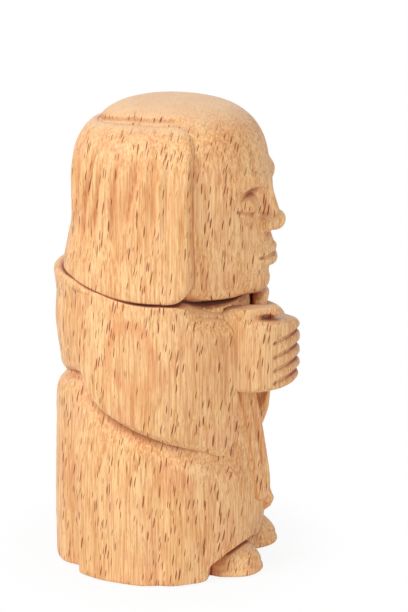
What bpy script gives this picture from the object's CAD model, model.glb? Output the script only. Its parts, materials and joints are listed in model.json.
# %% [markdown]
# # A monk carved from one block of beech
# The real ornament is about ten centimetres high and is cut with a knife and a gouge from a
# single block. Nothing on it is glued on. The robe, the sleeves, the hood, the hands, the head
# and the hair are all forms that the carver left standing between the grooves.
#
# A carver takes away and rounds over, and distance fields are good at both. A distance field is
# a number at every point of a lattice: how far the point is from the surface, negative inside
# the wood. Forms join, cut and round over by plain arithmetic on those numbers. So each carved
# form below is worked as a field, in millimetres, and then skinned.

import json
import math

import bpy
import numpy as np
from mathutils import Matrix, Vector

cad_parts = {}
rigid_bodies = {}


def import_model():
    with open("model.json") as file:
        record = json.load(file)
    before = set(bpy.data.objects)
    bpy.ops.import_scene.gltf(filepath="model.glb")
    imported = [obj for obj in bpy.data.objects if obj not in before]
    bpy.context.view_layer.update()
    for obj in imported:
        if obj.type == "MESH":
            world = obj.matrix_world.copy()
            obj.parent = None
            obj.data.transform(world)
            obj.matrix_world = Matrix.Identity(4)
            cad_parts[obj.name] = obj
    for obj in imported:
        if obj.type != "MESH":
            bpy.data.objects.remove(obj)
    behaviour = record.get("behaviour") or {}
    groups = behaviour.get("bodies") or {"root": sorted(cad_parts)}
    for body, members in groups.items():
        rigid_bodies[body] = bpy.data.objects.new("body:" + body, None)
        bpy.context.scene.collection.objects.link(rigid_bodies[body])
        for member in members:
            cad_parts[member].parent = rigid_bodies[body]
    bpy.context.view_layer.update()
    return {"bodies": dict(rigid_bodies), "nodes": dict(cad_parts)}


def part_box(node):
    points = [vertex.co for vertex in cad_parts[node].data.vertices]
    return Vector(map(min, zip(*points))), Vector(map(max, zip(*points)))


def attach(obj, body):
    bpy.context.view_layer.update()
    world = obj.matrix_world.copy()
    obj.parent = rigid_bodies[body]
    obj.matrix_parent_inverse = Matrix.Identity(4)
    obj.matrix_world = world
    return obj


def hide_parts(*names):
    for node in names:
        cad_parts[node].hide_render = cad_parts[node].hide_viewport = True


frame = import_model()
body = next(iter(frame["bodies"]))
MM = 0.001


def node_box(node):
    """Lowest and highest corner of a CAD node, in millimetres."""
    return [np.array(corner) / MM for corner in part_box(node)]


print("frame:", len(frame["nodes"]), "nodes on body", body)

# %% [markdown]
# ## Sizes
# The construction model gives each form its place. What the boxes of its nodes say is read from
# them here, so the sculpture follows if the model grows. What a box can't say, such as where the
# waist is, is a named size.

# %% Sizes read from the frame
robe_low, robe_high = node_box("robe")
robe_half = robe_high[0]
robe_front = -robe_low[1]
robe_back = robe_high[1]
near_reach = -node_box("right_sleeve")[0][0]
far_reach = node_box("left_sleeve")[1][0]
hood_reach = node_box("cowl_hood")[1][1]
head_half = node_box("head")[1][0]

shoulder_height = robe_high[2]
crown_height = node_box("head")[1][2]
neck_length = 2.9
jaw_height = shoulder_height + neck_length
head_height = crown_height - jaw_height
head_centre = -2.6
head_front = 20.4
head_back = 18.7
print(f"shoulder {shoulder_height:.1f}, jaw {jaw_height:.1f}, crown {crown_height:.1f} mm")

# %% [markdown]
# ## Fields
# The lattice is kept as three thin arrays that numpy spreads out by itself. Two fields join by
# the smaller of their numbers and cut by the larger. Swapping that sharp choice for a smooth one
# leaves a small fillet, the way a knife leaves one at the root of a groove.


# %% The lattice, and joining and cutting on it
class Lattice:
    """Points at even steps round one form, in millimetres."""

    def __init__(self, low, high, step):
        self.low = low
        self.step = step
        counts = np.ceil((high - low) / step).astype(int) + 1
        axes = [
            (start + step * np.arange(count)).astype(np.float32)
            for start, count in zip(low, counts)
        ]
        self.x, self.y, self.z = np.meshgrid(*axes, indexing="ij", sparse=True)
        self.reach = np.hypot(self.x, self.y)
        self.angle = np.degrees(np.arctan2(-self.x, -self.y))


class View:
    """A lattice with some of its coordinates taken otherwise."""

    def __init__(self, at, **taken):
        self.x, self.y, self.z = (taken.get(name, getattr(at, name)) for name in "xyz")


def mirrored(at):
    """The lattice folded over at the middle plane, so that one form serves both sides."""
    return View(at, x=np.abs(at.x))


def blend(first, second, soft):
    share = np.clip(0.5 + 0.5 * (second - first) / soft, 0, 1)
    return second + (first - second) * share - soft * share * (1 - share)


def join(first, *others, soft=0.4):
    for other in others:
        first = blend(first, other, soft)
    return first


def trim(first, *others, soft=0.4):
    for other in others:
        first = -blend(-first, -other, soft)
    return first


def cut(first, *tools, soft=0.4):
    return trim(first, *[-tool for tool in tools], soft=soft)


# %% Curves of one number
def smooth(value, low, high):
    share = np.clip((value - low) / (high - low), 0, 1)
    return share * share * (3 - 2 * share)


def below(value, low, high):
    """One below the first level, nothing above the second."""
    return 1 - smooth(value, low, high)


def mix(first, second, share):
    return first + (second - first) * share


def bell(value, middle, spread):
    """One at the middle, running out smoothly on both sides."""
    return np.exp(-(((value - middle) / spread) ** 2))


def through(value, stops, sizes):
    """Smooth curve through sizes that are given at rising stops."""
    stops = np.array(stops, float)
    sizes = np.array(sizes, float)
    slopes = np.gradient(sizes, stops)
    value = np.clip(value, stops[0], stops[-1])
    i = np.clip(np.searchsorted(stops, value) - 1, 0, len(stops) - 2)
    gap = stops[i + 1] - stops[i]
    t = (value - stops[i]) / gap
    rise = sizes[i + 1] - sizes[i]
    bend = (slopes[i] * gap - rise) * (1 - t) - (slopes[i + 1] * gap - rise) * t
    return (sizes[i] + rise * t + bend * t * (1 - t)).astype(np.float32)


def curve_points(corners, count, closed=False):
    """Catmull-Rom curve through corners, as evenly shared points."""
    corners = np.array(corners, float)
    if closed:
        padded = np.vstack([corners[-1:], corners, corners[:2]])
    else:
        before = 2 * corners[:1] - corners[1:2]
        after = 2 * corners[-1:] - corners[-2:-1]
        padded = np.vstack([before, corners, after])
    spans = len(padded) - 3
    places = np.linspace(0, spans, count, endpoint=not closed)
    i = np.minimum(places.astype(int), spans - 1)
    t = (places - i)[:, None]
    a, b, c, d = (padded[i + k] for k in range(4))
    bend = 2 * a - 5 * b + 4 * c - d
    return 0.5 * (2 * b + (c - a) * t + bend * t**2 + (3 * (b - c) + d - a) * t**3)


# %% Plain shapes as fields
SECTION_POWER = 2.1


def section_share(x, y, half, depth):
    """One on a rounded oval, less inside."""
    total = np.abs(x / half) ** SECTION_POWER + np.abs(y / depth) ** SECTION_POWER
    return total ** (1 / SECTION_POWER)


def oval(at, half, front, back, centre=0.0):
    """Upright round body with its own half-width, front and back."""
    along = at.y - centre
    share = section_share(at.x, along, half, np.where(along < 0, front, back))
    return np.hypot(at.x, along) * (1 - 1 / np.maximum(share, 1e-3))


def turned(x, y, degrees):
    c, s = math.cos(math.radians(degrees)), math.sin(math.radians(degrees))
    return c * x + s * y, c * y - s * x


def egg(at, centre, halves, turn=0.0):
    """Ellipsoid, turned about the vertical by an angle in degrees."""
    x, y = turned(at.x - centre[0], at.y - centre[1], turn)
    places = (x, y, at.z - centre[2])
    near = np.sqrt(sum((place / half) ** 2 for place, half in zip(places, halves)))
    slope = np.sqrt(sum((place / half**2) ** 2 for place, half in zip(places, halves)))
    return near * (near - 1) / np.maximum(slope, 1e-4)


def limb(at, path, radii, steps=12):
    """Round body along a curve, its radius running through the given ones."""
    points = curve_points(path, steps)
    sizes = np.interp(np.linspace(0, 1, steps), np.linspace(0, 1, len(radii)), radii)
    whole = None
    for start, end, r0, r1 in zip(points[:-1], points[1:], sizes[:-1], sizes[1:]):
        step = end - start
        px, py, pz = at.x - start[0], at.y - start[1], at.z - start[2]
        share = np.clip((px * step[0] + py * step[1] + pz * step[2]) / (step @ step), 0, 1)
        apart = np.sqrt(
            (px - share * step[0]) ** 2 + (py - share * step[1]) ** 2 + (pz - share * step[2]) ** 2
        )
        part = apart - (r0 + (r1 - r0) * share)
        whole = part if whole is None else np.minimum(whole, part)
    return whole


# %% [markdown]
# ## From a field to a skin
# A surface net puts one vertex into every small cube of the lattice that the surface passes
# through, at the mean of the places where the surface crosses the cube's edges, and one quad
# round every lattice edge that the surface crosses. The skin is closed, even in size and smooth
# enough to take a fine finish.

# %% Skinning
CORNERS = np.array([[i, j, k] for i in (0, 1) for j in (0, 1) for k in (0, 1)])
CUBE_EDGES = [(a, b) for a in range(8) for b in range(a + 1, 8) if bin(a ^ b).count("1") == 1]


def net_vertices(at, field, cells):
    values = np.stack([field[tuple((cells + corner).T)] for corner in CORNERS], axis=1)
    total = np.zeros((len(cells), 3))
    count = np.zeros(len(cells))
    for a, b in CUBE_EDGES:
        crossed = (values[:, a] < 0) != (values[:, b] < 0)
        first, second = values[crossed, a], values[crossed, b]
        share = (first / (first - second))[:, None]
        total[crossed] += CORNERS[a] + share * (CORNERS[b] - CORNERS[a])
        count[crossed] += 1
    return at.low + (cells + total / count[:, None]) * at.step


def net_quads(inside, number):
    quads = []
    for axis in range(3):
        u, v = (axis + 1) % 3, (axis + 2) % 3
        before = np.take(inside, range(inside.shape[axis] - 1), axis)
        after = np.take(inside, range(1, inside.shape[axis]), axis)
        start = np.argwhere(before != after)
        step_u, step_v = np.eye(3, dtype=int)[[u, v]]
        ring = [start - step_u - step_v, start - step_v, start, start - step_u]
        faces = np.stack([number[tuple(corner.T)] for corner in ring], axis=1)
        outward = before[tuple(start.T)]
        quads.append(np.where(outward[:, None], faces, faces[:, ::-1]))
    return np.vstack(quads)


def skin(at, field):
    """Vertices in millimetres and quads, facing outwards."""
    inside = field < 0
    nx, ny, nz = inside.shape
    filled = np.zeros((nx - 1, ny - 1, nz - 1), np.int8)
    for i, j, k in CORNERS:
        filled += inside[i : nx - 1 + i, j : ny - 1 + j, k : nz - 1 + k]
    cells = np.argwhere((filled > 0) & (filled < 8))
    number = np.full(filled.shape, -1)
    number[tuple(cells.T)] = np.arange(len(cells))
    return net_vertices(at, field, cells), net_quads(inside, number)


# %% [markdown]
# ## The body of the robe
# The robe is the block itself: a round column, fullest just above the hem, drawn in at the chest
# and flat on top where the neck stands. Its section is a rounded oval that changes with height.
# One deep upright fold parts the back of the robe from its side, and two arches in the hem show
# the shoes. The robe is cut a little deeper wherever another form ends on it.

# %% The robe's sections
levels = [0, 11, 29, 38, 45, shoulder_height - 2.4, shoulder_height]
side_insets = [0, 0, 0.9, 2.5, 4.7, 7.2, 8.4]
front_insets = [1.8, 0, 2.0, 4.0, 5.4, 8.0, 9.2]
back_insets = [0, 0, 0.4, 0.7, 2.3, 6.1, 7.3]


def robe_reach(height):
    half = robe_half - through(height, levels, side_insets)
    front = robe_front - through(height, levels, front_insets)
    back = robe_back - through(height, levels, back_insets)
    return half, front, back


for level in (0, levels[3]):
    print(f"robe at {level} mm: half, front, back", np.round(robe_reach(np.array(level)), 1))

# %% The folds and the hem arches
rear_fold_angle, rear_fold_lean, rear_lean_heights = 130, 4.6, (12, 38)
rear_fold_upper, rear_fold_lower = (1.1, 28, 40), (1.5, 3, 22)
side_fold = {"middle": 77, "depth": 0.45, "towards_side": 2.5, "towards_back": 6}
lap_fold = {"middle": 100, "depth": 0.25, "towards_side": 6, "towards_back": 9}
side_fold_fade = (11, 40)
shoe_spacing = 15.2
arch_half, arch_height, arch_depth = 10.4, 6.2, 8.5


def groove(angle, middle, depth, towards_side, towards_back):
    return depth * bell(angle, middle, np.where(angle < middle, towards_side, towards_back))


def robe_folds(at):
    """Depth of the upright folds, which run out upwards, on both sides of the figure."""
    angle = np.abs(at.angle)
    parts = (rear_fold_upper, rear_fold_lower)
    rear_depth = sum(depth * below(at.z, low, high) for depth, low, high in parts)
    rear_middle = rear_fold_angle + rear_fold_lean * smooth(at.z, *rear_lean_heights)
    rear = groove(angle, rear_middle, rear_depth, towards_side=2.4, towards_back=10)
    sides = groove(angle, **side_fold) + groove(angle, **lap_fold)
    return rear + sides * below(at.z, *side_fold_fade)


def hem_arch(at, side):
    x = at.x - side * shoe_spacing / 2
    round_top = (np.sqrt((x / arch_half) ** 2 + (at.z / arch_height) ** 2) - 1) * arch_height
    return trim(round_top, at.y + robe_front - arch_depth + 0 * x, soft=1.5)


print(f"folds at {side_fold['middle']}, {lap_fold['middle']} and {rear_fold_angle} degrees")

# %% Cuts in the robe beside the other forms
shadow_offset = 0.2
sleeve_shadow_depth, sleeve_shadow_spreads, sleeve_shadow_fade = 1.35, (0.7, 2.4), (34, 44)
hood_shadow_depth, hood_shadow_spread, hood_shadow_fade = 1.5, 1.5, (46, 50)
cord_shadow_depth, cord_shadow_spread, cord_half = 0.6, 0.45, 1.5
cord_sides = {"cord_end_long": 2.6, "cord_end_short": -3.4}
cord_ends = {"cord_end_long": 10.2, "cord_end_short": 14.0}


def sleeve_shadow(at):
    """Narrow cut in the robe along the lower edge of each sleeve."""
    edge = np.minimum(near_outline(at.angle, at.z), far_outline(-at.angle, at.z))
    spread = np.where(edge < shadow_offset, *sleeve_shadow_spreads)
    near_edge = bell(edge, shadow_offset, spread)
    return sleeve_shadow_depth * near_edge * below(at.z, *sleeve_shadow_fade)


def hood_shadow(at):
    """The robe draws in under the lower edge of the hood and swells out again below it."""
    angle = np.where(at.angle < 0, at.angle + 360, at.angle)
    near_edge = bell(hood_outline(angle, at.z), shadow_offset, hood_shadow_spread)
    rearward = below(np.abs(angle - 180), 44, 66)
    return hood_shadow_depth * near_edge * rearward * below(at.z, *hood_shadow_fade)


def cord_shadow(at):
    """A narrow cut on both sides of each hanging end of the belt."""
    depth = 0 * at.x
    for node, side in cord_sides.items():
        level = smooth(at.z, cord_ends[node] - 1.5, cord_ends[node] + 1) * (at.y < -8)
        for edge in (side - cord_half, side + cord_half):
            depth = depth + cord_shadow_depth * bell(at.x, edge, cord_shadow_spread) * level
    return depth


def robe_field(at):
    cuts = sleeve_shadow(at) + hood_shadow(at) + cord_shadow(at)
    sides = oval(at, *robe_reach(at.z)) + robe_folds(at) + cuts
    top = trim(sides, at.z - shoulder_height, soft=3)
    arched = cut(top, hem_arch(at, -1), hem_arch(at, 1), soft=0.9)
    return trim(arched, -at.z, soft=0.5)


# %% [markdown]
# ## Raised forms
# The sleeves and the hood are left standing on the round block, like a relief on a column. Each
# is an outline in angle and height. The distance to the outline is worked out once on a flat
# lattice, unrolled from the column, and looked up from there for every point of the solid one.


# %% Outlines on the column
class Outline:
    """Closed curve through [angle, height] corners, on a column of the given radius."""

    def __init__(self, corners, radius, room=6, step=0.3):
        self.arc = math.radians(1) * radius
        scaled = [[angle * self.arc, height] for angle, height in corners]
        self.edge = curve_points(scaled, 120, closed=True)
        self.low = self.edge.min(0) - room
        self.step = step
        counts = np.ceil((self.edge.max(0) + room - self.low) / step).astype(int) + 1
        axes = [self.low[i] + step * np.arange(counts[i]) for i in range(2)]
        self.table = self.distance(*np.meshgrid(*axes, indexing="ij"))

    def distance(self, across, up):
        nearest = np.full(across.shape, 1e9)
        inside = np.zeros(across.shape, bool)
        for (ax, az), (bx, bz) in zip(self.edge, np.roll(self.edge, -1, axis=0)):
            dx, dz = bx - ax, bz - az
            share = ((across - ax) * dx + (up - az) * dz) / (dx * dx + dz * dz)
            share = np.clip(share, 0, 1)
            apart = np.hypot(across - ax - share * dx, up - az - share * dz)
            nearest = np.minimum(nearest, apart)
            crosses = (az > up) != (bz > up)
            inside ^= crosses & (across < ax + (up - az) * dx / (dz if dz else 1e-9))
        return np.where(inside, -nearest, nearest).astype(np.float32)

    def __call__(self, angle, height):
        place = [(angle * self.arc - self.low[0]), (height - self.low[1])]
        place = np.broadcast_arrays(*[p / self.step for p in place])
        top = np.array(self.table.shape) - 2
        i = np.clip(place[0].astype(int), 0, top[0])
        k = np.clip(place[1].astype(int), 0, top[1])
        u = np.clip(place[0] - i, 0, 1)
        v = np.clip(place[1] - k, 0, 1)
        low = mix(self.table[i, k], self.table[i + 1, k], u)
        high = mix(self.table[i, k + 1], self.table[i + 1, k + 1], u)
        return mix(low, high, v)


# %% [markdown]
# ## The sleeves
# Upper arm and hanging cuff are one broad swelling form that stands a good millimetre out of the
# robe. Its rear edge is rounded over. Its lower edge is a narrow facet, and the robe is cut down
# below it. Its front ends in the cuff, hollowed a little where the hand comes out, and two fine
# cuts mark where it meets the collar. The far cuff comes further round to the front.

# %% Sleeve outlines
sleeve_top = shoulder_height + 4.1
cuff_top = shoulder_height - 1.1
cuff_bottom = cuff_top - 28.2
elbow_angle, elbow_height = 112, shoulder_height - 17.5
sleeve_rear_angle = 131
near_cuff, far_cuff = 29.5, 20


def sleeve_outline(cuff, reach):
    def lower_edge(share, sag):
        return [mix(elbow_angle, cuff, share), mix(elbow_height, cuff_bottom, share) - sag]

    corners = [
        [cuff + 7, cuff_bottom],
        [cuff + 2.6, cuff_bottom + 2.4],
        [cuff, mix(cuff_bottom, cuff_top, 0.24)],
        [cuff, mix(cuff_bottom, cuff_top, 0.6)],
        [cuff, cuff_top],
        [cuff + 3, cuff_top + 2.9],
        [mix(cuff, elbow_angle, 0.45), sleeve_top + 1.2],
        [elbow_angle - 6, sleeve_top + 3.4],
        [sleeve_rear_angle - 6, sleeve_top + 3.8],
        [sleeve_rear_angle + 3, sleeve_top + 1.0],
        [sleeve_rear_angle, mix(elbow_height, sleeve_top, 0.6)],
        [sleeve_rear_angle - 7, mix(elbow_height, sleeve_top, 0.25)],
        [elbow_angle, elbow_height],
        lower_edge(0.35, 1.1),
        lower_edge(0.7, 0.9),
    ]
    return Outline(corners, reach)


near_outline = sleeve_outline(near_cuff, near_reach)
far_outline = sleeve_outline(far_cuff, far_reach)
print(f"cuffs from {cuff_bottom:.1f} to {cuff_top:.1f} mm, tables", near_outline.table.shape)

# %% Sleeve field
swell_height, swell_rise = 43, 17
swell_angle, swell_turn = 78, 50
elbow_hollow = {"middle": 104, "depth": 0.35, "towards_side": 14, "towards_back": 8}
facet_depth, facet_fade, facet_front_width, facet_rear_width = 1.05, (35, 40), 1.7, 1.0
front_softness, rear_softness, shoulder_softness = 0.7, 2.2, 1.8
mouth_halves, mouth_reach, mouth_rise = [3.4, 4.4, 6.0], 19, 9
shoulder_lean, shoulder_reach = (0.725, 0.689), 21.0
sleeve_inside = 11.5


def chest_line(angle):
    """Height of the cut line between the collar and the chest, lower towards the front."""
    rises = np.array([-0.4, 0.7, 1.9, 3.0])
    return through(np.abs(angle), [16, 38, 54, 70], shoulder_height + rises)


def collar_cut(angle, height, drop, depth):
    """A fine cut where the sleeve meets the band of the collar."""
    rises = np.array([0.2, 1.2, 1.9, 2.5])
    line = through(angle, [31, 41, 51, 58], shoulder_height + rises - drop)
    return depth * bell(height, line, 0.35) * smooth(angle, 27, 31) * below(angle, 56, 62)


def sleeve_inset(angle, height, edge, cuff, round_off):
    """How far the sleeve's outer face lies inside its greatest reach."""
    swell = ((height - swell_height) / swell_rise) ** 2
    swell = swell + round_off * ((angle - swell_angle) / swell_turn) ** 2
    hollow = groove(angle, **elbow_hollow) * smooth(height, 38, 46)
    flat = 0.5 * bell(angle, 52, 12) * bell(height, 33, 4.5)
    facet_width = mix(facet_front_width, facet_rear_width, smooth(angle, 62, 104))
    facet = np.clip(1 + edge / facet_width, 0, 1.2) * smooth(angle, cuff + 1, cuff + 7)
    return swell + hollow + flat + facet_depth * facet * below(height, *facet_fade)


def sleeve_field(at, side):
    near = side < 0
    outline = near_outline if near else far_outline
    reach, cuff, round_off = (near_reach, near_cuff, 0.8) if near else (far_reach, far_cuff, 0.2)
    angle = at.angle * -side
    edge = outline(angle, at.z)
    outer = at.reach - (reach - sleeve_inset(angle, at.z, edge, cuff, round_off))
    rear_share = smooth(angle, 92, 118)
    shaped = trim(edge, outer, soft=mix(front_softness, rear_softness, rear_share))
    out, up = shoulder_lean
    shoulder_slope = out * (at.reach - shoulder_reach) + up * (at.z - chest_line(angle) - 0.2)
    shoulder_slope = shoulder_slope - 5 * smooth(angle, 50, 82)
    shaped = trim(shaped, shoulder_slope, soft=shoulder_softness)
    shaped = shaped + collar_cut(angle, at.z, 0.0, 0.4) + collar_cut(angle, at.z, 1.0, 0.15)
    shaped = trim(shaped, at.z - hair_line(at) - 0.25, soft=0.5)
    x, y = turned(0, -mouth_reach, cuff - 3)
    mouth = egg(at, [-side * x, y, cuff_bottom + mouth_rise], mouth_halves, turn=side * cuff)
    return trim(cut(shaped, mouth, soft=0.5), sleeve_inside - at.reach, soft=0.5)


# %% [markdown]
# ## The hood
# The hood of the habit lies on the back below the hair. Its top edge is rolled over into a soft
# rim. Lower down it draws in, to end in the notch that the robe has there, and below the notch
# the robe swells out again.

# %% Hood field
hair_bottom = sleeve_top + 0.8
hood_rise, hood_tail_drop = 8.4, 15.3
hood_top = shoulder_height + hood_rise
hood_half = [
    [24, shoulder_height - 14.2],
    [42, shoulder_height - 12.8],
    [60, shoulder_height - 14.2],
    [72, shoulder_height - 14],
    [74, sleeve_top],
    [86, sleeve_top + 1.6],
    [80, hood_top + 2],
    [32, hood_top + 2],
]
hood_corners = (
    [[180 - angle, height] for angle, height in hood_half]
    + [[180, hood_top + 2]]
    + [[180 + angle, height] for angle, height in reversed(hood_half)]
    + [[180, shoulder_height - hood_tail_drop]]
)
hood_outline = Outline(hood_corners, hood_reach)
hood_side_sink, hood_low_sink, hood_low_fade = 0.7, 1.2, (40, 54)
rim_inset, rim_drop, rim_radius = 1.0, 1.1, 0.85
hood_inside = 9


def hair_rearward(at):
    return smooth((at.y - head_centre) / head_back, 0.0, 1.1)


def hair_line(at):
    """Height of the hair's lower edge."""
    return mix(hair_bottom, hood_top - 0.2, hair_rearward(at))


def hood_field(at):
    angle = np.where(at.angle < 0, at.angle + 360, at.angle)
    off = np.abs(angle - 180)
    sink = hood_side_sink * smooth(off, 20, 60) + 0.6 * smooth(off, 36, 54)
    sink = sink + 0.3 * bell(at.z, shoulder_height + 3.0, 2.2)
    sink = sink + hood_low_sink * below(at.z, *hood_low_fade)
    outer = at.reach - (hood_reach - sink)
    shaped = trim(hood_outline(angle, at.z), outer, soft=mix(3, 0.8, smooth(at.z, 55, 59)))
    under_hair = hair_line(at) + 0.3
    shaped = trim(shaped, at.z - under_hair, soft=0.4)
    fade = below(off, 48, 84)
    rim = np.hypot(at.reach - hood_reach + rim_inset, at.z - under_hair + rim_drop)
    rim = rim - rim_radius * fade + 3 * below(fade, 0, 0.05)
    return trim(join(shaped, rim, soft=0.8), hood_inside - at.reach, soft=0.5)


print(f"hood from {shoulder_height - hood_tail_drop:.1f} to {hood_top:.1f} mm")

# %% [markdown]
# ## The head
# A carver starts a head as a rounded block: upright sides, a low dome and a jaw that turns in.
# The field joins an oval column to a dome by one formula, which gives the bald crown its full
# shape. The face is a plain, calm one on the usual divisions of a head, with lids closed.

# %% Skull
dome_height = 18
dome_power = 2.9
dome_foot = crown_height - dome_height
jaw_stops = [0, 1.2, 3.1, 9.1, 16, 24]
jaw_sides = [4.6, 2.6, 1.8, 1.3, 0.2, 0]
jaw_fronts = [5.1, 2.9, 2.0, 0.8, 0.2, 0]


def skull_share(at, grow=0.0, drop=0.0, jaw=1.0):
    """One at the surface of the head, less inside."""
    up = at.z - jaw_height
    half = head_half + grow - jaw * through(up, jaw_stops, jaw_sides)
    inset = jaw * through(up, jaw_stops, jaw_fronts)
    along = at.y - head_centre
    depth = np.where(along < 0, head_front, head_back) + grow - inset
    level = section_share(at.x, along, half, depth)
    rise = np.maximum(at.z + drop - dome_foot, 0) / dome_height
    return (level**dome_power + rise**dome_power) ** (1 / dome_power)


def skull_field(at):
    return (skull_share(at) - 1) * head_half


head_depth = head_front + head_back
print(f"head {2 * head_half:.1f} wide, {head_depth:.1f} deep, {head_height:.1f} mm high")

# %% Places on the face
eye_line = jaw_height + head_height * 0.5
brow_line = eye_line + 4.4
nose_base = brow_line - 10.9
mouth_line = mix(nose_base, jaw_height, 0.34)
face_front = head_centre - head_front
eye_side, eye_sink, eye_turn = 6.9, 3.2, 17
eye_halves = [4.3, 4.0, 3.1]
socket_halves = [5.8, 3.0, 3.9]
muzzle_halves, muzzle_depth = [8.2, 5.0, 5.2], 3.7


def face_point(x, forward, z):
    """A place on the roundness of the face, forward of its surface."""
    depth = head_front * (1 - abs(x / head_half) ** SECTION_POWER) ** (1 / SECTION_POWER)
    return [x, head_centre - depth - forward, z]


eye_centre = face_point(eye_side, -eye_sink, eye_line)


def lid_point(across, up):
    """A place on the closed lid, across and up as shares of the eyeball's half-sizes."""
    forward = eye_halves[1] * math.sqrt(1 - across**2 - up**2)
    x, y = turned(across * eye_halves[0], -forward, -eye_turn)
    return [eye_centre[0] + x, eye_centre[1] + y, eye_centre[2] + up * eye_halves[2]]


def muzzle_point(x, up, out):
    """A place in front of the muzzle's roundness, above the mouth line."""
    round_off = math.sqrt(1 - (x / muzzle_halves[0]) ** 2 - (up / muzzle_halves[2]) ** 2)
    return [x, face_front + muzzle_depth - muzzle_halves[1] * round_off - out, mouth_line + up]


print(f"eyes at {eye_line:.1f}, nose at {nose_base:.1f}, mouth at {mouth_line:.1f} mm")

# %% Face
def eyes_on(at, bare):
    """The bare head with its brows and closed eyes worked in, the two sides alike."""
    half = mirrored(at)
    socket = egg(half, face_point(eye_side - 0.4, 1.0, eye_line + 0.5), socket_halves, turn=20)
    carved = cut(bare, socket, soft=2.6)
    carved = join(carved, egg(half, eye_centre, eye_halves, turn=eye_turn), soft=0.5)
    lash = [lid_point(u, -0.1 - 0.34 * (1 - u * u)) for u in (-0.9, -0.6, -0.2, 0.2, 0.6, 0.9)]
    carved = cut(carved, limb(half, lash, [0.25, 0.45, 0.5, 0.5, 0.45, 0.25], 16), soft=0.3)
    bow = [(1.4, -1.0, -0.2), (4.8, -0.6, 0.9), (8.8, -0.8, 1.0), (13.0, -1.6, -0.8)]
    brow = [face_point(x, forward, brow_line + rise) for x, forward, rise in bow]
    return join(carved, limb(half, brow, [1.3, 1.6, 1.5, 0.9], 9), soft=1.7)


def nose_on(at, carved):
    """A straight nose whose ridge leans out evenly from the brow to the tip."""
    half = mirrored(at)
    ridge = [
        [0, face_front + 1.6, brow_line + 1.2],
        [0, face_front + 0.1, eye_line + 0.6],
        [0, face_front - 0.9, mix(eye_line, nose_base, 0.5)],
        [0, face_front - 1.5, nose_base + 2.4],
    ]
    carved = join(carved, limb(at, ridge, [1.4, 1.6, 1.9, 2.3], 9), soft=1.6)
    wing = egg(half, [2.8, face_front - 0.2, nose_base + 1.8], [1.5, 2.0, 1.6], turn=14)
    carved = join(carved, wing, soft=1)
    nostril = egg(half, [1.5, face_front - 1.5, nose_base - 0.2], [0.55, 0.9, 0.5], turn=10)
    return cut(carved, nostril, soft=0.6)


def mouth_on(at, carved):
    """Closed lips on a low muzzle, and a round chin below them."""
    half = mirrored(at)
    muzzle = egg(at, [0, face_front + muzzle_depth, mouth_line], muzzle_halves)
    carved = join(carved, muzzle, soft=2.4)
    upper = [muzzle_point(x, up, -0.2) for x, up in ((0, 0.95), (1.5, 1.2), (3.6, 0.8), (5.6, 0.1))]
    lower = [(0, -1.3), (1.6, -1.25), (3.6, -0.8), (5.4, -0.1)]
    lower = [muzzle_point(x, up, -0.15) for x, up in lower]
    carved = join(carved, limb(half, upper, [0.85, 0.85, 0.6, 0.25], 10), soft=0.5)
    carved = join(carved, limb(half, lower, [1.05, 1.0, 0.7, 0.25], 10), soft=0.5)
    seam = [muzzle_point(x, up, 0.3) for x, up in ((0, -0.12), (2.0, 0.05), (4.2, 0.0))]
    seam.append(muzzle_point(6.2, 0.15, 0.0))
    carved = cut(carved, limb(half, seam, [0.45, 0.45, 0.4, 0.25], 12), soft=0.3)
    dip = egg(at, [0, face_front - 0.3, mix(mouth_line, jaw_height, 0.5)], [4.6, 1.1, 1.0])
    carved = cut(carved, dip, soft=1.8)
    philtrum = egg(at, [0, face_front - 1.5, mix(nose_base, mouth_line, 0.4)], [0.6, 0.6, 1.2])
    carved = cut(carved, philtrum, soft=0.9)
    chin = egg(at, [0, face_front + 4.2, jaw_height + 3.4], [5.8, 4.6, 3.6])
    return join(carved, chin, soft=2.2)


# %% Head field
face_back = -9
neck_radius, neck_back = 12, -1.3


def head_field(at):
    carved = skull_field(at)
    front_rows = int(np.sum(at.y < face_back))
    front = View(at, y=at.y[:, :front_rows])
    with_eyes = eyes_on(front, carved[:, :front_rows])
    carved[:, :front_rows] = mouth_on(front, nose_on(front, with_eyes))
    rim = crown_height - hair_top_drop(at)
    rim_cut = 0.5 * bell(at.z, rim + 0.25, 0.5) * smooth(at.y, -11, -5)
    under_hair = 0.4 * smooth(rim - at.z, -0.2, 0.3) * smooth(at.y, -10, -7)
    under_jaw = jaw_height + 1.5 * smooth(at.y, -25, -12)
    jaw_flat = trim(carved + np.maximum(rim_cut, under_hair), under_jaw - at.z, soft=2.4)
    neck = oval(at, neck_radius - 0.5, neck_radius, neck_radius, centre=neck_back)
    neck = trim(neck, shoulder_height - 0.6 - at.z, at.z - jaw_height - 6, soft=0.3)
    return join(jaw_flat, neck, soft=0.8)


# %% [markdown]
# ## The hair
# The hair is a thick shell, cut straight round the back and the sides. It stands proud of the
# face along an upright front edge with round corners, and a dark undercut parts it from the
# shoulders. At the top it ends in a low step, where a shallow groove runs round the bald crown.

# %% Hair field
hair_thickness, crown_lift, jaw_share = 2.0, 0.75, 0.15
side_flare, rear_flare, flare_share = 0.6, 1.9, 0.4
hair_front = head_centre - 8.6
hair_side_drop, hair_rear_drop = 3.1, 4.8
low_corner, high_corner = 5.5, 4.6


def hair_top_drop(at):
    rearward = smooth((at.y - head_centre) / head_back, 0.2, 1)
    return mix(hair_side_drop, hair_rear_drop, rearward)


def round_corner(first, second, radius):
    """Two straight edges that meet in a round corner."""
    return np.hypot(np.maximum(first + radius, 0), np.maximum(second + radius, 0)) - radius


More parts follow.
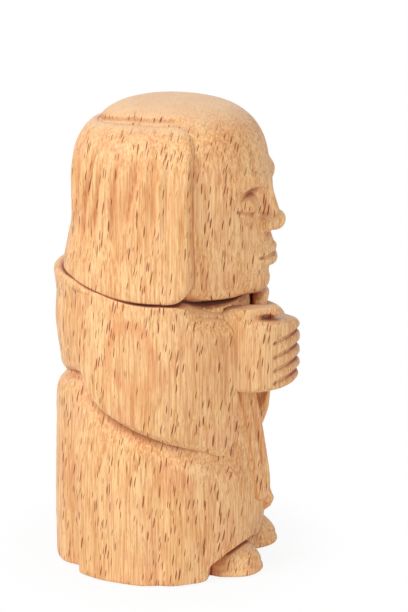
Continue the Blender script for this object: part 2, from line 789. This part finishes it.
def hair_field(at):
    rearward = hair_rearward(at)
    bottom = hair_line(at)
    height = crown_height - hair_top_drop(at) - bottom
    flare = mix(side_flare, rear_flare, rearward) * below((at.z - bottom) / height, 0, flare_share)
    outer = (skull_share(at, hair_thickness, crown_lift, jaw_share) - 1) * head_half - flare
    shell = trim(outer, bottom - at.z, at.z - bottom - height, soft=0.7)
    from_front = hair_front - at.y
    low = round_corner(from_front, hair_bottom - at.z, low_corner)
    high = round_corner(from_front, at.z - (crown_height - hair_side_drop), high_corner)
    middle = (hair_bottom + crown_height - hair_side_drop) / 2
    sides = np.maximum(np.where(at.z < middle, low, high), from_front)
    return trim(trim(shell, sides, soft=1.4), -skull_field(at) - 0.5, soft=0.2)


print(f"hair from {hair_bottom:.1f} to {crown_height - hair_side_drop:.1f} mm")

# %% [markdown]
# ## Collar, shoes and chest
# Between the sleeves the carver roughed out the neck of the habit: a thick band with a cut line
# under it. The shoes are plain rounded toes that come out from under the hem.


# %% Collar and shoe fields
collar_half, collar_front, collar_back, collar_centre = 18.9, 18.3, 16.2, -0.9
toe_halves, toe_turn = [6.7, 8.5, 6.9], 8
toe_centre = -robe_front - 1.6 + toe_halves[1]


def collar_field(at):
    line_height = chest_line(at.angle)
    lean = 0.3 * (at.z - line_height - 1)
    band = oval(at, collar_half, collar_front, collar_back, collar_centre) + lean
    band = trim(band, at.z - shoulder_height - 3.4, soft=0.9)
    chips = 0.14 * np.sin(at.angle * 1.3 + 0.9 * at.z) * np.sin(at.angle * 0.47 + 1.2)
    chips = chips + 0.1 * np.sin(at.z * 5.3 + at.angle * 0.11)
    line = 0.6 * bell(at.z, line_height + 0.2, 0.4)
    return trim(band + chips + line, line_height - 2.2 - at.z, 10.5 - at.reach, soft=0.5)


def shoe_field(at, side):
    toe = egg(at, [side * shoe_spacing / 2, toe_centre, 0], toe_halves, turn=side * toe_turn)
    sole = 0.3 * bell(at.z, 1.5, 0.4)
    return trim(toe + sole, -at.z, soft=0.5)


print(f"collar {2 * collar_half:.1f} mm wide, shoes {2 * toe_halves[0]:.1f} mm wide")

# %% [markdown]
# ## The hands
# One hand lies over the other. The near hand is first a broad mitten, almost flush with the cuff
# and bent round the front. The fingers are only narrow cuts in it. The thumbs rest on top.

# %% Mittens and fingers
hand_height = shoulder_height - 9.2
mitten_radius = 3.8
near_mitten = [[-8.2, -13], [-8.2, -19.8], [-6.2, -23.7], [-2.2, -25.7], [3, -25.8], [6.2, -24.2]]
far_mitten = [[8.2, -13], [8.2, -19.6], [6.4, -21.8], [2, -23.0]]
finger_gaps = [4.8, 1.7, -1.2, -3.9]


def over_hand(points):
    """Places whose heights are given from the middle of the hands."""
    return [[x, y, hand_height + rise] for x, y, rise in points]


def mitten_field(at, plan_path, top, bottom):
    """A thick upright wall that bends round the front, rounded over above and below."""
    path = [[x, y, 0] for x, y in plan_path]
    plan = View(at, z=0 * at.z[..., :1])
    wall = limb(plan, path, [mitten_radius, mitten_radius], 14)
    sloped = at.z - hand_height - top - 0.15 * (at.y + 24)
    return trim(wall, sloped, hand_height - bottom - at.z, soft=1.9)


def finger_gap(at, rise, inward, size):
    """A cut between two fingers, from the knuckles round the front to the tips."""
    sweep = [(-8.6, -26.6, -0.5), (-7.2, -27.8, -0.1), (-5.2, -28.8, 0), (-2.6, -29.4, 0.1),
             (1.0, -29.6, -0.2), (4.4, -29.2, -0.6), (8.2, -27.4, -1.2)]
    path = over_hand([(x, y + inward, rise + dip) for x, y, dip in sweep])
    widths = [size * share for share in (0.4, 0.9, 1, 1, 1, 0.9, 0.6)]
    return limb(at, path, widths, 14)


print(f"hands at {hand_height:.1f} mm, with {len(finger_gaps)} cuts between the fingers")

# %% Hand fields
def near_hand_field(at):
    top = 9.4 - 0.12 * np.maximum(at.x + 7, 0) - 0.16 * np.maximum(at.x + 1, 0)
    hand = mitten_field(at, near_mitten, top, 6.2)
    for rise in finger_gaps:
        hand = cut(hand, finger_gap(at, rise, 0.0, 0.45), soft=1.0)
        hand = cut(hand, finger_gap(at, rise, 0.55, 0.32), soft=0.3)
    knuckle = over_hand([(-5.2, -29.2, 4.4), (-5.0, -29.3, 2.0)])
    hand = cut(hand, limb(at, knuckle, [0.3, 0.2], 4), soft=0.5)
    for x, y, depth in ((-9.7, -26.8, 0.45), (-8.6, -24.6, 0.3)):
        wrinkle = over_hand([(x, y, 8.2), (x + 0.2, y - 0.3, 3.0)])
        hand = cut(hand, limb(at, wrinkle, [depth, 0.1], 4), soft=1.0)
    bent = [(-9.6, -17.0, 9.2), (-8.8, -21.0, 11.2), (-7.8, -23.8, 11.9), (-6.8, -25.6, 11.2)]
    thumb = over_hand(bent)
    hand = join(hand, limb(at, thumb, [2.6, 2.1, 1.8, 1.5], 9), soft=1.2)
    under = over_hand([(-11.9, -22.8, 8.3), (-10.4, -25.2, 9.4), (-8.3, -27.2, 11.2)])
    return cut(hand, limb(at, under, [0.2, 0.5, 0.35], 7), soft=0.5)


def far_hand_field(at):
    hand = mitten_field(at, far_mitten, 7.6, 5.6)
    bent = [(10.2, -16.6, 8.0), (8.0, -19.6, 10.4), (5.0, -20.6, 10.8), (2.8, -20.8, 9.6)]
    thumb = over_hand(bent)
    return join(hand, limb(at, thumb, [2.4, 2.1, 1.8, 1.6], 9), soft=0.9)


# %% [markdown]
# ## Skins for all the carved forms
# Every field is worked on its own lattice, no finer than the form needs. The lattices stay in
# memory, because the finish asks them later how deep in a groove each vertex lies.


# %% Sculpting
class Form:
    """One carved form: its lattice, its field and its skin."""

    margin = 1.2
    far_away = 9.0

    def __init__(self, node, step, room, field):
        self.node = node
        low, high = node_box(node)
        around = np.array(room)
        self.at = Lattice(low - around - self.margin, high + around + self.margin, step)
        shape = (self.at.x.size, self.at.y.size, self.at.z.size)
        self.field = np.broadcast_to(field(self.at), shape).astype(np.float32)
        self.close_edges()
        self.points, self.quads = skin(self.at, self.field)

    def close_edges(self):
        """A form that runs on under its neighbours ends at the edge of its lattice."""
        for axis in range(3):
            layers = np.moveaxis(self.field, axis, 0)
            for end in (0, -1):
                layers[end] = np.maximum(layers[end], 0.2)

    def near(self, points):
        """Distance to this form's surface at any points, far away if off its lattice."""
        place = (points - self.at.low) / self.at.step
        top = np.array(self.field.shape) - 1.001
        within = np.all((place >= 0) & (place <= top), axis=1)
        found = np.full(len(points), self.far_away)
        cell = place[within].astype(int)
        t = place[within] - cell
        total = np.zeros(len(cell))
        for corner in CORNERS:
            weight = np.prod(np.where(corner, t, 1 - t), axis=1)
            total += weight * self.field[tuple((cell + corner).T)]
        found[within] = total
        return found


def on_side(field, side):
    return lambda at: field(at, side)


no_room, some_room, sleeve_room = (0, 0, 0), (1, 1, 1), (1, 2.5, 4)
forms = [
    Form("robe", 0.36, no_room, robe_field),
    Form("right_sleeve", 0.26, sleeve_room, on_side(sleeve_field, -1)),
    Form("left_sleeve", 0.26, sleeve_room, on_side(sleeve_field, 1)),
    Form("cowl_hood", 0.3, some_room, hood_field),
    Form("head", 0.305, no_room, head_field),
    Form("hair_bob", 0.32, no_room, hair_field),
    Form("collar", 0.3, some_room, collar_field),
    Form("right_shoe", 0.22, some_room, on_side(shoe_field, -1)),
    Form("left_shoe", 0.22, some_room, on_side(shoe_field, 1)),
    Form("right_hand", 0.19, some_room, near_hand_field),
    Form("left_hand", 0.22, some_room, far_hand_field),
]
for form in forms:
    print(f"{form.node}: {len(form.points)} vertices, {2 * len(form.quads)} triangles")

# %% [markdown]
# ## Node trees from Python
# Trees are easier to read as expressions than as lists of links. A Wire is a socket that can be
# added and multiplied, and a Bench makes the nodes: its type, its settings, then its inputs.


# %% Wires and the bench
def sign(operation, swapped=False):
    """What a sign of arithmetic does with a wire: it makes a math node."""

    def apply(self, other):
        values = (other, self) if swapped else (self, other)
        return self.bench.maths(operation, *values)

    return apply


class Wire:
    """An output socket that takes part in Python arithmetic."""

    def __init__(self, bench, socket):
        self.bench = bench
        self.socket = socket

    __add__ = __radd__ = sign("ADD")
    __mul__ = __rmul__ = sign("MULTIPLY")
    __sub__, __rsub__ = sign("SUBTRACT"), sign("SUBTRACT", swapped=True)
    __truediv__, __rtruediv__ = sign("DIVIDE"), sign("DIVIDE", swapped=True)


class Bench:
    """Makes the nodes of one tree."""

    def __init__(self, tree):
        self.tree = tree

    def made(self, kind, settings=None, inputs=None):
        node = self.tree.nodes.new(kind)
        for name, value in (settings or {}).items():
            setattr(node, name, value)
        for key, value in (inputs or {}).items():
            if isinstance(value, Wire):
                self.tree.links.new(value.socket, node.inputs[key])
            else:
                node.inputs[key].default_value = value
        return node

    def node(self, kind, settings=None, inputs=None, output=0):
        return Wire(self, self.made(kind, settings, inputs).outputs[output])

    def outputs(self, kind, settings=None, inputs=None):
        """All the outputs of a node, by name."""
        return {s.name: Wire(self, s) for s in self.made(kind, settings, inputs).outputs if s.name}

    def parts(self, vector):
        return self.outputs("ShaderNodeSeparateXYZ", {}, {0: vector}).values()

    def maths(self, operation, *values):
        return self.node("ShaderNodeMath", {"operation": operation}, dict(enumerate(values)))

    def vector(self, operation, *values, output=0):
        inputs = dict(enumerate(values))
        return self.node("ShaderNodeVectorMath", {"operation": operation}, inputs, output)

    def scaled(self, vector, factor):
        inputs = {0: vector, "Scale": factor}
        return self.node("ShaderNodeVectorMath", {"operation": "SCALE"}, inputs)

    def noise(self, place, scale=1.0, dimensions="3D", **inputs):
        inputs.update(Vector=place, Scale=scale)
        return self.node("ShaderNodeTexNoise", {"noise_dimensions": dimensions}, inputs)

    def step(self, value, low, high):
        """Smooth step from 0 to 1 between two levels."""
        settings = {"interpolation_type": "SMOOTHSTEP"}
        inputs = {"Value": value, "From Min": low, "From Max": high}
        return self.node("ShaderNodeMapRange", settings, inputs)

    def mix_colour(self, share, first, second, blend_type="MIX"):
        settings = {"data_type": "RGBA", "blend_type": blend_type}
        return self.node("ShaderNodeMix", settings, {0: share, 6: first, 7: second}, output=2)


def shading_bench(owner):
    """The emptied shader tree of a material or a world."""
    owner.use_nodes = True
    owner.node_tree.nodes.clear()
    return Bench(owner.node_tree)


# %% [markdown]
# ## Beech
# The grain stands upright and runs through every form without a break, because it is one block.
# The growth rings are nearly flat sheets across the figure, so its sides are cut along the rings.
# There the rays of the beech show as short dark upright dashes, the mark by which the wood is
# known. In the wood a ray is a thin blade, so each dash here is a flat ellipsoid hung in space,
# one for some of the cells of a Voronoi pattern, and every surface cuts through those blades.
# Where the crown is cut across the grain the tone is paler.


# %% Rays, rings and tones of the wood
def srgb(red, green, blue):
    """Colour as it looks on screen, 0 to 255, as the linear colour that the shader takes."""
    shares = [c / 255 for c in (red, green, blue)]
    return (*[c / 12.92 if c <= 0.04045 else ((c + 0.055) / 1.055) ** 2.4 for c in shares], 1)


def ray_dashes(bench, place, spacing, size, kept, shift):
    """Dashes of the rays: 1 in a dash, 0 beside it."""
    moved = bench.vector("ADD", place, (shift, shift * 1.7, shift * 2.3))
    settings = {"voronoi_dimensions": "3D", "feature": "F1"}
    inputs = {"Vector": bench.vector("DIVIDE", moved, spacing), "Scale": 1.0, "Randomness": 0.85}
    cell = bench.outputs("ShaderNodeTexVoronoi", settings, inputs)
    first, second, third = bench.outputs("ShaderNodeSeparateColor", {}, {0: cell["Color"]}).values()
    shown = bench.maths("LESS_THAN", first, kept)
    radius = size * (0.55 + second * 0.6)
    mask = 1 - bench.step(cell["Distance"] / radius, 0.7, 1.0)
    return mask * shown * (0.7 + third * 0.3)


loop_centre, loop_halves = (0.6, 50.0), (5.2, 7.4)
ring_width = 3.1


def ring_loop(bench, y, z, waver):
    """Where the sleeve swells through one growth ring, the ring comes out as a closed loop."""
    across = (y - loop_centre[0]) / loop_halves[0]
    along = (z - loop_centre[1]) / loop_halves[1]
    size = bench.maths("SQRT", across * across + along * along) + (waver - 0.5) * 0.8
    inner = bench.step(size, 0.5, 0.9)
    lower_end = 1 - bench.step(along, -1.2, 0.2)
    return inner * (1 - bench.step(size, 0.92, 1.2)) * (1 - lower_end * 0.5)


def late_wood(bench, x, place):
    """The darker side of each growth ring, which ends sharply."""
    bent = x + (bench.noise(place, 0.045, Detail=1.0) - 0.5) * 7.0
    ring = bench.maths("FRACT", bent / ring_width + 50.3)
    return bench.step(ring, 0.5, 0.95) * (1 - bench.step(ring, 0.95, 1.0))


# %% Beech material
ray_lean = 0.11
large_rays = {"spacing": (2.8, 0.44, 4.1), "size": 0.36, "kept": 0.62, "shift": 0.0}
small_rays = {"spacing": (1.6, 0.4, 2.6), "size": 0.3, "kept": 0.55, "shift": 31.0}
broad_scale, streak_scale, pore_scale = (0.16, 0.22, 0.05), (2.0, 2.4, 0.07), (4.2, 5.4, 0.2)


def beech_material():
    material = bpy.data.materials.new("beech")
    bench = shading_bench(material)
    step = bench.step
    place = bench.scaled(bench.outputs("ShaderNodeTexCoord")["Object"], 1 / MM)
    x, y, z = bench.parts(place)
    waver = bench.noise(place, 0.12, Detail=1.0)
    leaned_y = y + z * ray_lean + (waver - 0.5) * 1.2
    leaned = bench.node("ShaderNodeCombineXYZ", {}, {0: x, 1: leaned_y, 2: z})
    large, small = (ray_dashes(bench, leaned, **rays) for rays in (large_rays, small_rays))
    broad = bench.noise(bench.vector("MULTIPLY", leaned, broad_scale), Detail=2.0)
    stain = bench.noise(place, 0.11, Detail=2.0, Distortion=0.6)
    streak_place = bench.vector("MULTIPLY", place, streak_scale)
    streaks = bench.noise(streak_place, Detail=1.0, Roughness=0.6)
    pore_place = bench.vector("MULTIPLY", place, pore_scale)
    pores = bench.noise(pore_place, Detail=2.0, Roughness=0.75)

    normal = bench.outputs("ShaderNodeNewGeometry")["Normal"]
    sideways, _, upward = bench.parts(normal)
    end_grain = step(upward, 0.6, 0.97)
    along_rings = step(bench.maths("ABSOLUTE", sideways), 0.25, 0.7)
    ray_strength = (1 - end_grain * 0.6) * (0.42 + along_rings * 0.58)
    crease, hollow, flute = (
        bench.node("ShaderNodeAttribute", {"attribute_name": name}, output=2)
        for name in ("crease", "hollow", "flute")
    )

    tone = bench.mix_colour(step(broad, 0.35, 0.65), srgb(224, 164, 101), srgb(239, 192, 134))
    layers = [
        (step(stain, 0.5, 0.68) * 0.4, (222, 142, 96)),
        (step(streaks, 0.46, 0.64) * 0.55, (250, 206, 149)),
        ((1 - step(streaks, 0.36, 0.5)) * 0.5, (200, 130, 76)),
        (step(pores, 0.5, 0.64) * 0.42, (250, 214, 160)),
        ((1 - step(pores, 0.38, 0.5)) * 0.42, (196, 128, 76)),
        (late_wood(bench, x, place) * 0.12, (206, 120, 84)),
        (ring_loop(bench, y, z, waver) * 0.55, (216, 136, 84)),
        (end_grain * 0.6, (238, 198, 158)),
        (small * ray_strength * 0.4, (168, 84, 40)),
        (large * ray_strength, (140, 54, 4)),
        (step(flute, 0.2, 0.8) * 0.5, (202, 122, 62)),
    ]
    for share, colour in layers:
        tone = bench.mix_colour(share, tone, srgb(*colour))
    tone = bench.mix_colour(step(hollow, 0.3, 0.95) * 0.6, tone, srgb(196, 124, 72), "MULTIPLY")
    tone = bench.mix_colour(step(crease, 0.2, 0.9) * 0.8, tone, srgb(166, 94, 48), "MULTIPLY")

    height = (pores - 0.5) * 0.7 + (streaks - 0.5) * 0.6 - large * 0.5
    bump_inputs = {"Strength": 0.5, "Distance": 0.14 * MM, "Height": height}
    surface = {
        "Base Color": tone,
        "Roughness": 0.48 + (pores - 0.5) * 0.2 + crease * 0.15,
        "Normal": bench.node("ShaderNodeBump", {}, bump_inputs),
        "IOR": 1.45,
        "Sheen Weight": 0.08,
        "Sheen Roughness": 0.5,
    }
    shader = bench.node("ShaderNodeBsdfPrincipled", {}, surface)
    bench.made("ShaderNodeOutputMaterial", {}, {"Surface": shader})
    return material


beech = beech_material()
print("beech:", len(beech.node_tree.nodes), "nodes")

# %% [markdown]
# ## Tool marks by Geometry Nodes
# A gouge leaves long shallow flutes in the hair, one beside the next, and a knife leaves small
# flats everywhere else. Both repeat over a surface by a rule, so a node tree moves the skin by
# them. Depth, count and seed are inputs of the tree, and the result becomes a plain mesh.


# %% Opening and closing a tree
def new_tree(name, sizes):
    """A tree with its bench and a wire for each of its inputs."""
    tree = bpy.data.node_groups.new(name, "GeometryNodeTree")
    tree.interface.new_socket("Geometry", in_out="INPUT", socket_type="NodeSocketGeometry")
    for size in sizes:
        tree.interface.new_socket(size, in_out="INPUT", socket_type="NodeSocketFloat")
    tree.interface.new_socket("Geometry", in_out="OUTPUT", socket_type="NodeSocketGeometry")
    bench = Bench(tree)
    return tree, bench, bench.outputs("NodeGroupInput")


def close_tree(bench, geometry):
    real = bench.node("GeometryNodeRealizeInstances", {}, {0: geometry})
    finished = bench.node("GeometryNodeSetMaterial", {}, {"Geometry": real, "Material": beech})
    bench.made("NodeGroupOutput", {}, {0: finished})


def moved(bench, geometry, direction, distance):
    inputs = {"Geometry": geometry, "Offset": bench.scaled(direction, distance)}
    return bench.node("GeometryNodeSetPosition", {}, inputs)


# %% The knife marks
def knife_tree():
    """Flats of a few millimetres, cut a tenth of a millimetre deep."""
    tree, bench, wires = new_tree("knife_marks", ["Depth", "Flat Size", "Seed"])
    place = bench.scaled(bench.node("GeometryNodeInputPosition"), 1 / wires["Flat Size"])
    noise = bench.noise(place, dimensions="4D", W=wires["Seed"], Detail=1.0)
    normal = bench.node("GeometryNodeInputNormal")
    depth = (noise - 0.5) * wires["Depth"] * 2.0
    close_tree(bench, moved(bench, wires["Geometry"], normal, depth))
    return tree


knife_marks = knife_tree()
print("knife marks:", len(knife_marks.nodes), "nodes")


# %% The flutes of the hair
def flute_tree():
    """Upright V-cuts round the head, each with its own depth, start and end."""
    sizes = ["Depth", "Count", "Fan", "Centre", "Front", "Top", "Bottom", "Seed"]
    tree, bench, wires = new_tree("hair_flutes", sizes)
    x, y, z = bench.parts(bench.node("GeometryNodeInputPosition"))
    turn = bench.maths("ARCTAN2", x, 0 - (y - wires["Centre"])) / math.tau
    up = (z - wires["Bottom"]) / (wires["Top"] - wires["Bottom"])
    spread = turn * (1 + wires["Fan"] * up) * wires["Count"]
    waver_inputs = {0: spread * 0.8 + wires["Seed"], 1: up * 1.6}
    waver_place = bench.node("ShaderNodeCombineXYZ", {}, waver_inputs)
    place = spread + (bench.noise(waver_place, dimensions="2D", Detail=1.0) - 0.5) * 0.9
    index = bench.maths("ROUND", place)
    dice_inputs = {"W": index + wires["Seed"]}
    dice = bench.outputs("ShaderNodeTexWhiteNoise", {"noise_dimensions": "1D"}, dice_inputs)
    own_depth, own_top, own_bottom = bench.parts(dice["Color"])
    beside = bench.maths("ABSOLUTE", place - index) * 2.0
    valley = bench.maths("POWER", bench.maths("MAXIMUM", 1 - beside * 1.1, 0.0), 1.4)
    start = bench.step(up - own_bottom * 0.22, 0.12, 0.42)
    finish = 1 - bench.step(up + own_top * 0.1, 0.78, 0.98)
    behind = bench.step((y - wires["Front"]) / MM, 0.8, 5.0)
    flute = valley * start * finish * behind * (0.45 + own_depth * 0.5)
    outward = bench.vector("MULTIPLY", bench.node("GeometryNodeInputNormal"), (1.0, 1.0, 0.0))
    cut_in = moved(bench, wires["Geometry"], outward, flute * wires["Depth"] * -1.0)
    stored = {"Geometry": cut_in, "Name": "flute", "Value": flute}
    settings = {"data_type": "FLOAT", "domain": "POINT"}
    close_tree(bench, bench.node("GeometryNodeStoreNamedAttribute", settings, stored))
    return tree


hair_flutes = flute_tree()
print("flutes:", len(hair_flutes.nodes), "nodes")


# %% The sweep of a rope's end
def sweep_tree():
    """A round section swept along a curve, its width taken from the curve's points."""
    tree, bench, wires = new_tree("cord_sweep", ["Radius", "Step"])
    sampling = {"Curve": wires["Geometry"], "Length": wires["Step"]}
    circle = {"Resolution": 20, "Radius": wires["Radius"]}
    sweep = {
        "Curve": bench.node("GeometryNodeResampleCurve", {"mode": "LENGTH"}, sampling),
        "Profile Curve": bench.node("GeometryNodeCurvePrimitiveCircle", {"mode": "RADIUS"}, circle),
        "Scale": bench.node("GeometryNodeInputRadius"),
        "Fill Caps": True,
    }
    tube = bench.node("GeometryNodeCurveToMesh", {}, sweep)
    close_tree(bench, bench.node("GeometryNodeSetShadeSmooth", {}, {"Geometry": tube}))
    return tree


cord_sweep = sweep_tree()
print("sweep:", len(cord_sweep.nodes), "nodes")


# %% Working a tree into a plain mesh
def add_object(name, data):
    made = bpy.data.objects.new(name, data)
    bpy.context.scene.collection.objects.link(made)
    return made


def tree_mesh(thing, tree, **sizes):
    """What a node tree makes of an object, as a plain mesh."""
    modifier = thing.modifiers.new(tree.name, "NODES")
    modifier.node_group = tree
    for item in tree.interface.items_tree:
        size = item.name.replace(" ", "_").lower()
        if item.in_out == "INPUT" and size in sizes:
            modifier[item.identifier] = float(sizes[size])
    graph = bpy.context.evaluated_depsgraph_get()
    mesh = bpy.data.meshes.new_from_object(thing.evaluated_get(graph), depsgraph=graph)
    thing.modifiers.clear()
    return mesh


def work(piece, tree, **sizes):
    old = piece.data
    piece.data = tree_mesh(piece, tree, **sizes)
    bpy.data.meshes.remove(old)


def ride_and_replace(piece, node):
    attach(piece, body)
    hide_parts(node)


# %% [markdown]
# ## How deep in a groove
# Handling and oil darken the grooves of bare wood. A point a little way off the surface is near
# other wood only if it lies in a groove, so the fields of all the forms are asked at such points.
# The answer is kept on each vertex, at two scales, for the finish to read.

# %% Groove depth on every vertex
groove_scales = {"crease": 0.7, "hollow": 2.6}


def openness(points, normals, height):
    """Share of the height above the surface that is free of wood, 1 in the open."""
    above = points + normals * height
    nearest = np.min([form.near(above) for form in forms], axis=0)
    return np.clip(nearest / height, 0, 1)


def read_vectors(items, name):
    flat = np.zeros(3 * len(items), np.float32)
    items.foreach_get(name, flat)
    return flat.reshape(-1, 3)


def make_piece(form):
    mesh = bpy.data.meshes.new("carved_" + form.node)
    mesh.from_pydata(form.points * MM, [], form.quads.tolist())
    mesh.validate()
    mesh.polygons.foreach_set("use_smooth", np.ones(len(mesh.polygons), bool))
    piece = add_object("carved_" + form.node, mesh)
    normals = read_vectors(mesh.vertex_normals, "vector")
    places = read_vectors(mesh.vertices, "co") / MM
    for name, height in groove_scales.items():
        layer = mesh.attributes.new(name, "FLOAT", "POINT")
        layer.data.foreach_set("value", 1 - openness(places, normals, height))
    mesh.materials.append(beech)
    return piece


# %% The carved pieces
flute_sizes = {
    "depth": 1.5 * MM, "count": 31, "fan": 0.08, "centre": head_centre * MM,
    "front": hair_front * MM, "top": (crown_height - hair_side_drop) * MM,
    "bottom": hair_bottom * MM, "seed": 4,
}
fine_forms = ("head", "right_hand", "left_hand")
fine_depth, knife_depth, flat_size = 0.05 * MM, 0.13 * MM, 3.4 * MM

for seed, form in enumerate(forms):
    piece = make_piece(form)
    if form.node == "hair_bob":
        work(piece, hair_flutes, **flute_sizes)
    depth = fine_depth if form.node in fine_forms else knife_depth
    work(piece, knife_marks, depth=depth, flat_size=flat_size, seed=seed)
    ride_and_replace(piece, form.node)
print(len(forms), "carved forms")

# %% [markdown]
# ## The ends of the rope belt
# Two ends of the belt hang from under the hands and lie on the robe. Each is a round section
# swept along its path, and the knot and the tassel are thicker places on it.

# %% Rope ends
cord_radius, cord_step, cord_points = 1.3 * MM, 0.25 * MM, 36
cord_top = hand_height - 7.2
cord_widths = [0.95, 0.95, 0.9, 0.85, 1.5, 0.9, 1.2, 0.6]
knots = {"cord_end_long": 12.2, "cord_end_short": 19.6}


def front_of_robe(side, height):
    front = robe_front - through(np.array([height]), levels, front_insets)[0]
    return [side, -front * math.sqrt(1 - (side / robe_half) ** 2), height]


def cord_piece(node, knot):
    end = cord_ends[node]
    upper = [cord_top, mix(cord_top, knot, 0.35), mix(cord_top, knot, 0.75)]
    stops = upper + [knot + 2.2, knot, knot - 1.8, end + 0.8, end]
    path = curve_points([front_of_robe(cord_sides[node], stop) for stop in stops], cord_points)
    shares = np.linspace(0, 1, cord_points)
    widths = np.interp(shares, np.linspace(0, 1, len(cord_widths)), cord_widths)
    curve = bpy.data.curves.new("carved_" + node, "CURVE")
    curve.dimensions = "3D"
    spline = curve.splines.new("POLY")
    spline.points.add(cord_points - 1)
    for point, place, width in zip(spline.points, path, widths):
        point.co = (*(place * MM), 1)
        point.radius = width
    line = add_object("line_" + node, curve)
    mesh = tree_mesh(line, cord_sweep, radius=cord_radius, step=cord_step)
    bpy.data.objects.remove(line)
    piece = add_object("carved_" + node, mesh)
    ride_and_replace(piece, node)
    return piece


for node, knot in knots.items():
    piece = cord_piece(node, knot)
    print(f"{piece.name}: {len(piece.data.polygons)} faces")

# %% [markdown]
# ## Camera, floor and light
# The photograph looks at the figure's right side, a little from the front and from above, through
# a long lens. The camera sees the floor and the world as white, apart from a soft shadow near the
# figure, which is lit by a plain soft studio light from the upper left.


# %% Camera
def aim(thing, place, target):
    thing.location = place
    thing.rotation_mode = "QUATERNION"
    thing.rotation_quaternion = (Vector(target) - Vector(place)).to_track_quat("-Z", "Y")


camera_place = (-0.4172, -0.1040, 0.1800)
camera_target = (0.00225, -0.00902, 0.0545)
camera = add_object("camera", bpy.data.cameras.new("camera"))
camera.data.lens = 124.4
aim(camera, camera_place, camera_target)
bpy.context.scene.camera = camera
print("camera distance:", round((Vector(camera_target) - Vector(camera_place)).length, 3), "m")

# %% Floor
floor_half, floor_drop = 3.0, 0.0002
shadow_share, shadow_near, shadow_far = 0.1, 0.02, 0.045


def white_floor():
    """Matt white that the camera sees as the backdrop, apart from the shadow near the figure."""
    material = bpy.data.materials.new("white_floor")
    bench = shading_bench(material)
    matt = bench.node("ShaderNodeBsdfDiffuse", {}, {"Color": (0.85, 0.85, 0.85, 1)})
    backdrop = bench.node("ShaderNodeEmission", {}, {"Color": (1, 1, 1, 1), "Strength": 1.0})
    place = bench.outputs("ShaderNodeTexCoord")["Object"]
    distance = bench.vector("LENGTH", place, output=1)
    shaded = shadow_share * (1 - bench.step(distance, shadow_near, shadow_far))
    share = 1 - bench.node("ShaderNodeLightPath") * (1 - shaded)
    seen = bench.node("ShaderNodeMixShader", {}, {0: share, 1: backdrop, 2: matt})
    bench.made("ShaderNodeOutputMaterial", {}, {"Surface": seen})
    return material


corners = [(-floor_half, -floor_half, 0), (floor_half, -floor_half, 0)]
corners += [(-x, -y, z) for x, y, z in corners]
floor_mesh = bpy.data.meshes.new("floor")
floor_mesh.from_pydata(corners, [], [(0, 1, 2, 3)])
floor_mesh.materials.append(white_floor())
floor = add_object("floor", floor_mesh)
floor.location.z = -floor_drop
print("floor:", 2 * floor_half, "m wide")

# %% Lights and world
light_target = (0, 0, 0.05)
world_strength = 0.42


def area_light(name, place, size, watts):
    light = bpy.data.lights.new(name, "AREA")
    light.size = size
    light.energy = watts
    aim(add_object(name, light), place, light_target)


def white_world():
    """White to the camera and in reflections, and dimmer as a light."""
    world = bpy.data.worlds.new("studio")
    bpy.context.scene.world = world
    bench = shading_bench(world)
    path = bench.outputs("ShaderNodeLightPath")
    indirect = bench.maths("MAXIMUM", path["Is Glossy Ray"], path["Is Transmission Ray"])
    seen = bench.maths("MAXIMUM", path["Is Camera Ray"], indirect)
    strength = world_strength + seen * (1 - world_strength)
    shader = bench.node("ShaderNodeBackground", {}, {"Color": (1, 1, 1, 1), "Strength": strength})
    bench.made("ShaderNodeOutputWorld", {}, {"Surface": shader})


area_light("key", (-0.4, 0.42, 0.55), 0.3, 4.15)
area_light("fill", (-0.5, -0.6, 0.2), 0.6, 2.5)
white_world()
bpy.context.scene.view_settings.view_transform = "Standard"
print("lights:", [lamp.name for lamp in bpy.data.lights])

# %% Sizes for the record, and the end
bpy.context.view_layer.update()
